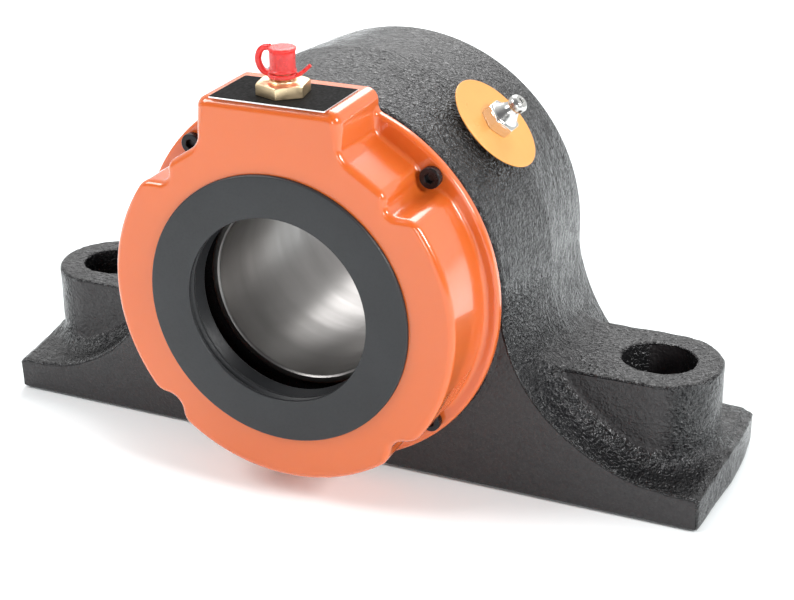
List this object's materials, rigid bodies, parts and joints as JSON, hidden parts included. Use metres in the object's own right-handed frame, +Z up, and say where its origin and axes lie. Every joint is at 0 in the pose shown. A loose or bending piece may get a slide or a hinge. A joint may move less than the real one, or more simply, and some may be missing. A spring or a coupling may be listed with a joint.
{
  "type": "spherical roller bearing pillow block",
  "caption": "Two-bolt cast pillow block with a self-aligning double-row spherical roller bearing, an orange end cover with a shaft seal, locking collars and grease fittings.",
  "frame": {"origin": "centre of the base's bottom face, below the middle of the bearing", "axes": "+X along the base toward the side with the round grease tag, +Y along the shaft away from the front cover, +Z up"},
  "size_m": [0.262, 0.1213, 0.153],
  "materials": {
    "cast_black": "rough black paint over a sand casting",
    "cover_orange": "glossy moulded plastic",
    "bearing_steel": "ground and superfinished",
    "ground_steel": "ground bore",
    "sheet_steel": "pressed sheet, satin",
    "black_oxide": "black oxide",
    "cage_brass": "machined",
    "adapter_brass": "machined, semi-bright",
    "seal_rubber": "matt moulded",
    "gasket": "pressed fibre",
    "cap_red": "soft translucent plastic",
    "label_black": "printed plate, smooth",
    "tag_orange": "thin enamelled disc",
    "zinc_plate": "bright zinc plate"
  },
  "bodies": {
    "housing_body": {"housing": "cast_black", "outer_ring": "bearing_steel", "retaining_rings": "black_oxide", "bearing_seal_case_front": "sheet_steel", "bearing_seal_case_rear": "sheet_steel", "end_cover": "cover_orange", "cover_seal": "seal_rubber", "cover_gasket": "gasket", "cover_screws": "black_oxide", "label_plate": "label_black", "cover_adapter": "adapter_brass", "cover_fitting": "adapter_brass", "cap_strap": "cap_red", "grease_tag": "tag_orange", "housing_grease_fitting": "zinc_plate"},
    "floating_seals": {"floating_seal_rings": "seal_rubber"},
    "guide": {"guide_ring": "black_oxide"},
    "inner_assembly": {"inner_ring": "ground_steel", "locking_collar_front": "black_oxide", "locking_collar_rear": "black_oxide", "collar_set_screws": "black_oxide"},
    "cage_front": {"cage_front": "cage_brass"},
    "cage_rear": {"cage_rear": "cage_brass"},
    "roller_front_01": {"roller_front_01": "bearing_steel"},
    "roller_front_02": {"roller_front_02": "bearing_steel"},
    "roller_front_03": {"roller_front_03": "bearing_steel"},
    "roller_front_04": {"roller_front_04": "bearing_steel"},
    "roller_front_05": {"roller_front_05": "bearing_steel"},
    "roller_front_06": {"roller_front_06": "bearing_steel"},
    "roller_front_07": {"roller_front_07": "bearing_steel"},
    "roller_front_08": {"roller_front_08": "bearing_steel"},
    "roller_front_09": {"roller_front_09": "bearing_steel"},
    "roller_front_10": {"roller_front_10": "bearing_steel"},
    "roller_front_11": {"roller_front_11": "bearing_steel"},
    "roller_front_12": {"roller_front_12": "bearing_steel"},
    "roller_front_13": {"roller_front_13": "bearing_steel"},
    "roller_front_14": {"roller_front_14": "bearing_steel"},
    "roller_rear_01": {"roller_rear_01": "bearing_steel"},
    "roller_rear_02": {"roller_rear_02": "bearing_steel"},
    "roller_rear_03": {"roller_rear_03": "bearing_steel"},
    "roller_rear_04": {"roller_rear_04": "bearing_steel"},
    "roller_rear_05": {"roller_rear_05": "bearing_steel"},
    "roller_rear_06": {"roller_rear_06": "bearing_steel"},
    "roller_rear_07": {"roller_rear_07": "bearing_steel"},
    "roller_rear_08": {"roller_rear_08": "bearing_steel"},
    "roller_rear_09": {"roller_rear_09": "bearing_steel"},
    "roller_rear_10": {"roller_rear_10": "bearing_steel"},
    "roller_rear_11": {"roller_rear_11": "bearing_steel"},
    "roller_rear_12": {"roller_rear_12": "bearing_steel"},
    "roller_rear_13": {"roller_rear_13": "bearing_steel"},
    "roller_rear_14": {"roller_rear_14": "bearing_steel"},
    "dust_cap": {"dust_cap": "cap_red"},
    "cover_fitting_ball": {"cover_fitting_ball": "bearing_steel"},
    "housing_fitting_ball": {"housing_fitting_ball": "bearing_steel"}
  },
  "joints": [
    {"name": "misalign_pitch", "type": "hinge", "parent": "housing_body", "child": "floating_seals", "pos_m": [0, 0, 0.06985], "axis": [1, 0, 0], "range_deg": [-1.5, 1.5]},
    {"name": "misalign_yaw", "type": "hinge", "parent": "floating_seals", "child": "guide", "pos_m": [0, 0, 0.06985], "axis": [0, 0, 1], "range_deg": [-1.5, 1.5]},
    {"name": "inner_spin", "type": "hinge", "parent": "guide", "child": "inner_assembly", "pos_m": [0, 0, 0.06985], "axis": [0, 1, 0], "continuous": true},
    {"name": "cage_front_spin", "type": "hinge", "parent": "guide", "child": "cage_front", "pos_m": [0, 0, 0.06985], "axis": [0, 1, 0], "continuous": true},
    {"name": "cage_rear_spin", "type": "hinge", "parent": "guide", "child": "cage_rear", "pos_m": [0, 0, 0.06985], "axis": [0, 1, 0], "continuous": true},
    {"name": "roller_front_01_spin", "type": "hinge", "parent": "cage_front", "child": "roller_front_01", "pos_m": [0, -0.00809, 0.11147], "axis": [0, 0.9816, 0.1908], "continuous": true},
    {"name": "roller_front_02_spin", "type": "hinge", "parent": "cage_front", "child": "roller_front_02", "pos_m": [0.01806, -0.00809, 0.10735], "axis": [0.0828, 0.9816, 0.1719], "continuous": true},
    {"name": "roller_front_03_spin", "type": "hinge", "parent": "cage_front", "child": "roller_front_03", "pos_m": [0.03254, -0.00809, 0.0958], "axis": [0.1492, 0.9816, 0.119], "continuous": true},
    {"name": "roller_front_04_spin", "type": "hinge", "parent": "cage_front", "child": "roller_front_04", "pos_m": [0.04058, -0.00809, 0.07911], "axis": [0.186, 0.9816, 0.0425], "continuous": true},
    {"name": "roller_front_05_spin", "type": "hinge", "parent": "cage_front", "child": "roller_front_05", "pos_m": [0.04058, -0.00809, 0.06059], "axis": [0.186, 0.9816, -0.0425], "continuous": true},
    {"name": "roller_front_06_spin", "type": "hinge", "parent": "cage_front", "child": "roller_front_06", "pos_m": [0.03254, -0.00809, 0.0439], "axis": [0.1492, 0.9816, -0.119], "continuous": true},
    {"name": "roller_front_07_spin", "type": "hinge", "parent": "cage_front", "child": "roller_front_07", "pos_m": [0.01806, -0.00809, 0.03235], "axis": [0.0828, 0.9816, -0.1719], "continuous": true},
    {"name": "roller_front_08_spin", "type": "hinge", "parent": "cage_front", "child": "roller_front_08", "pos_m": [0, -0.00809, 0.02823], "axis": [0, 0.9816, -0.1908], "continuous": true},
    {"name": "roller_front_09_spin", "type": "hinge", "parent": "cage_front", "child": "roller_front_09", "pos_m": [-0.01806, -0.00809, 0.03235], "axis": [-0.0828, 0.9816, -0.1719], "continuous": true},
    {"name": "roller_front_10_spin", "type": "hinge", "parent": "cage_front", "child": "roller_front_10", "pos_m": [-0.03254, -0.00809, 0.0439], "axis": [-0.1492, 0.9816, -0.119], "continuous": true},
    {"name": "roller_front_11_spin", "type": "hinge", "parent": "cage_front", "child": "roller_front_11", "pos_m": [-0.04058, -0.00809, 0.06059], "axis": [-0.186, 0.9816, -0.0425], "continuous": true},
    {"name": "roller_front_12_spin", "type": "hinge", "parent": "cage_front", "child": "roller_front_12", "pos_m": [-0.04058, -0.00809, 0.07911], "axis": [-0.186, 0.9816, 0.0425], "continuous": true},
    {"name": "roller_front_13_spin", "type": "hinge", "parent": "cage_front", "child": "roller_front_13", "pos_m": [-0.03254, -0.00809, 0.0958], "axis": [-0.1492, 0.9816, 0.119], "continuous": true},
    {"name": "roller_front_14_spin", "type": "hinge", "parent": "cage_front", "child": "roller_front_14", "pos_m": [-0.01806, -0.00809, 0.10735], "axis": [-0.0828, 0.9816, 0.1719], "continuous": true},
    {"name": "roller_rear_01_spin", "type": "hinge", "parent": "cage_rear", "child": "roller_rear_01", "pos_m": [0.00926, 0.00809, 0.11043], "axis": [-0.0425, 0.9816, -0.186], "continuous": true},
    {"name": "roller_rear_02_spin", "type": "hinge", "parent": "cage_rear", "child": "roller_rear_02", "pos_m": [0.02595, 0.00809, 0.10239], "axis": [-0.119, 0.9816, -0.1492], "continuous": true},
    {"name": "roller_rear_03_spin", "type": "hinge", "parent": "cage_rear", "child": "roller_rear_03", "pos_m": [0.0375, 0.00809, 0.08791], "axis": [-0.1719, 0.9816, -0.0828], "continuous": true},
    {"name": "roller_rear_04_spin", "type": "hinge", "parent": "cage_rear", "child": "roller_rear_04", "pos_m": [0.04162, 0.00809, 0.06985], "axis": [-0.1908, 0.9816, 0], "continuous": true},
    {"name": "roller_rear_05_spin", "type": "hinge", "parent": "cage_rear", "child": "roller_rear_05", "pos_m": [0.0375, 0.00809, 0.05179], "axis": [-0.1719, 0.9816, 0.0828], "continuous": true},
    {"name": "roller_rear_06_spin", "type": "hinge", "parent": "cage_rear", "child": "roller_rear_06", "pos_m": [0.02595, 0.00809, 0.03731], "axis": [-0.119, 0.9816, 0.1492], "continuous": true},
    {"name": "roller_rear_07_spin", "type": "hinge", "parent": "cage_rear", "child": "roller_rear_07", "pos_m": [0.00926, 0.00809, 0.02927], "axis": [-0.0425, 0.9816, 0.186], "continuous": true},
    {"name": "roller_rear_08_spin", "type": "hinge", "parent": "cage_rear", "child": "roller_rear_08", "pos_m": [-0.00926, 0.00809, 0.02927], "axis": [0.0425, 0.9816, 0.186], "continuous": true},
    {"name": "roller_rear_09_spin", "type": "hinge", "parent": "cage_rear", "child": "roller_rear_09", "pos_m": [-0.02595, 0.00809, 0.03731], "axis": [0.119, 0.9816, 0.1492], "continuous": true},
    {"name": "roller_rear_10_spin", "type": "hinge", "parent": "cage_rear", "child": "roller_rear_10", "pos_m": [-0.0375, 0.00809, 0.05179], "axis": [0.1719, 0.9816, 0.0828], "continuous": true},
    {"name": "roller_rear_11_spin", "type": "hinge", "parent": "cage_rear", "child": "roller_rear_11", "pos_m": [-0.04162, 0.00809, 0.06985], "axis": [0.1908, 0.9816, 0], "continuous": true},
    {"name": "roller_rear_12_spin", "type": "hinge", "parent": "cage_rear", "child": "roller_rear_12", "pos_m": [-0.0375, 0.00809, 0.08791], "axis": [0.1719, 0.9816, -0.0828], "continuous": true},
    {"name": "roller_rear_13_spin", "type": "hinge", "parent": "cage_rear", "child": "roller_rear_13", "pos_m": [-0.02595, 0.00809, 0.10239], "axis": [0.119, 0.9816, -0.1492], "continuous": true},
    {"name": "roller_rear_14_spin", "type": "hinge", "parent": "cage_rear", "child": "roller_rear_14", "pos_m": [-0.00926, 0.00809, 0.11043], "axis": [0.0425, 0.9816, -0.186], "continuous": true},
    {"name": "dust_cap_pull", "type": "slide", "parent": "housing_body", "child": "dust_cap", "axis": [0, 0, 1], "range_m": [0, 0.013], "deforming": ["cap_strap"]},
    {"name": "cover_fitting_ball_press", "type": "slide", "parent": "housing_body", "child": "cover_fitting_ball", "axis": [0, 0, -1], "range_m": [0, 0.0008], "stiffness_N_per_m": 300},
    {"name": "housing_fitting_ball_press", "type": "slide", "parent": "housing_body", "child": "housing_fitting_ball", "axis": [-0.7071, 0, -0.7071], "range_m": [0, 0.0008], "stiffness_N_per_m": 300}
  ],
  "couplings": [
    {"joint": "cage_front_spin", "follows": "inner_spin", "ratio": 0.42358},
    {"joint": "cage_rear_spin", "follows": "inner_spin", "ratio": 0.42358},
    {"joint": "roller_front_01_spin", "follows": "inner_spin", "ratio": -3.1365},
    {"joint": "roller_front_02_spin", "follows": "inner_spin", "ratio": -3.1365},
    {"joint": "roller_front_03_spin", "follows": "inner_spin", "ratio": -3.1365},
    {"joint": "roller_front_04_spin", "follows": "inner_spin", "ratio": -3.1365},
    {"joint": "roller_front_05_spin", "follows": "inner_spin", "ratio": -3.1365},
    {"joint": "roller_front_06_spin", "follows": "inner_spin", "ratio": -3.1365},
    {"joint": "roller_front_07_spin", "follows": "inner_spin", "ratio": -3.1365},
    {"joint": "roller_front_08_spin", "follows": "inner_spin", "ratio": -3.1365},
    {"joint": "roller_front_09_spin", "follows": "inner_spin", "ratio": -3.1365},
    {"joint": "roller_front_10_spin", "follows": "inner_spin", "ratio": -3.1365},
    {"joint": "roller_front_11_spin", "follows": "inner_spin", "ratio": -3.1365},
    {"joint": "roller_front_12_spin", "follows": "inner_spin", "ratio": -3.1365},
    {"joint": "roller_front_13_spin", "follows": "inner_spin", "ratio": -3.1365},
    {"joint": "roller_front_14_spin", "follows": "inner_spin", "ratio": -3.1365},
    {"joint": "roller_rear_01_spin", "follows": "inner_spin", "ratio": -3.1365},
    {"joint": "roller_rear_02_spin", "follows": "inner_spin", "ratio": -3.1365},
    {"joint": "roller_rear_03_spin", "follows": "inner_spin", "ratio": -3.1365},
    {"joint": "roller_rear_04_spin", "follows": "inner_spin", "ratio": -3.1365},
    {"joint": "roller_rear_05_spin", "follows": "inner_spin", "ratio": -3.1365},
    {"joint": "roller_rear_06_spin", "follows": "inner_spin", "ratio": -3.1365},
    {"joint": "roller_rear_07_spin", "follows": "inner_spin", "ratio": -3.1365},
    {"joint": "roller_rear_08_spin", "follows": "inner_spin", "ratio": -3.1365},
    {"joint": "roller_rear_09_spin", "follows": "inner_spin", "ratio": -3.1365},
    {"joint": "roller_rear_10_spin", "follows": "inner_spin", "ratio": -3.1365},
    {"joint": "roller_rear_11_spin", "follows": "inner_spin", "ratio": -3.1365},
    {"joint": "roller_rear_12_spin", "follows": "inner_spin", "ratio": -3.1365},
    {"joint": "roller_rear_13_spin", "follows": "inner_spin", "ratio": -3.1365},
    {"joint": "roller_rear_14_spin", "follows": "inner_spin", "ratio": -3.1365}
  ]
}
